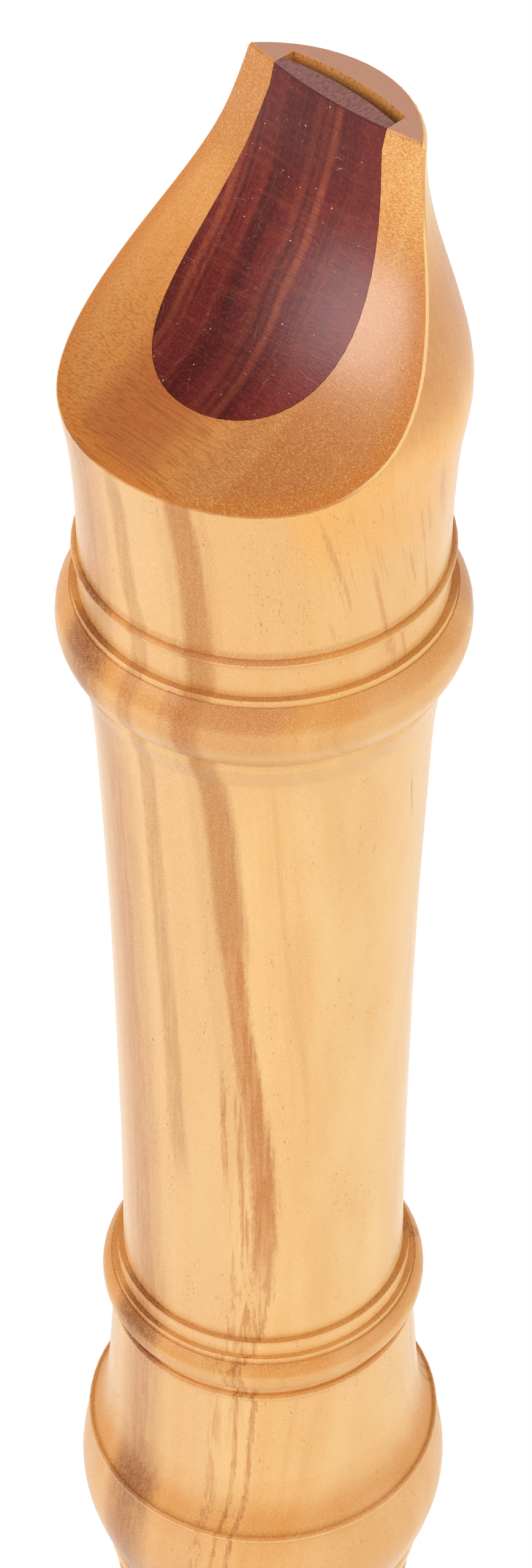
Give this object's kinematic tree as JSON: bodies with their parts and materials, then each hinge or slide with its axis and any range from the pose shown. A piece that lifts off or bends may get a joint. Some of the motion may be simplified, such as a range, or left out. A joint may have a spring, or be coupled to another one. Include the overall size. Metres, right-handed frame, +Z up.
{
  "type": "alto recorder",
  "caption": "Baroque-style alto recorder of streaked light wood with a dark block, curved beak, turned rings, finger holes and cork-lapped joints.",
  "frame": {"origin": "centre of the foot's end face, on the bore axis, on the surface that the recorder stands on", "axes": "+Z up the bore axis from the foot to the blowing end; -Y the front, with the window and the finger holes; +Y the back, with the beak's cut and the thumb hole"},
  "size_m": [0.0392, 0.0392, 0.4802],
  "materials": {
    "head_joint": "oiled light hardwood with brown streaks, satin",
    "block": "dry red-brown cedar, fine lengthwise grain",
    "middle_joint": "oiled light hardwood with brown streaks, satin",
    "foot_joint": "oiled light hardwood with brown streaks, satin",
    "upper_tenon_cork": "natural cork sheet, waxed",
    "lower_tenon_cork": "natural cork sheet, waxed"
  },
  "bodies": {
    "foot": {"foot_joint": "foot_joint"},
    "lower_cork": {"lower_tenon_cork": "lower_tenon_cork"},
    "middle": {"middle_joint": "middle_joint"},
    "upper_cork": {"upper_tenon_cork": "upper_tenon_cork"},
    "head": {"head_joint": "head_joint"},
    "block": {"block": "block"}
  },
  "joints": [
    {"name": "foot_pull", "type": "slide", "parent": "foot", "child": "lower_cork", "axis": [0, 0, 1], "range_m": [0, 0.026]},
    {"name": "foot_turn", "type": "hinge", "parent": "lower_cork", "child": "middle", "pos_m": [0, 0, 0.08835], "axis": [0, 0, 1], "continuous": true},
    {"name": "head_turn", "type": "hinge", "parent": "middle", "child": "upper_cork", "pos_m": [0, 0, 0.30275], "axis": [0, 0, 1], "continuous": true},
    {"name": "head_pull", "type": "slide", "parent": "upper_cork", "child": "head", "axis": [0, 0, 1], "range_m": [0, 0.03]},
    {"name": "block_slide", "type": "slide", "parent": "head", "child": "block", "axis": [0, 0, 1], "range_m": [0, 0.065]}
  ]
}
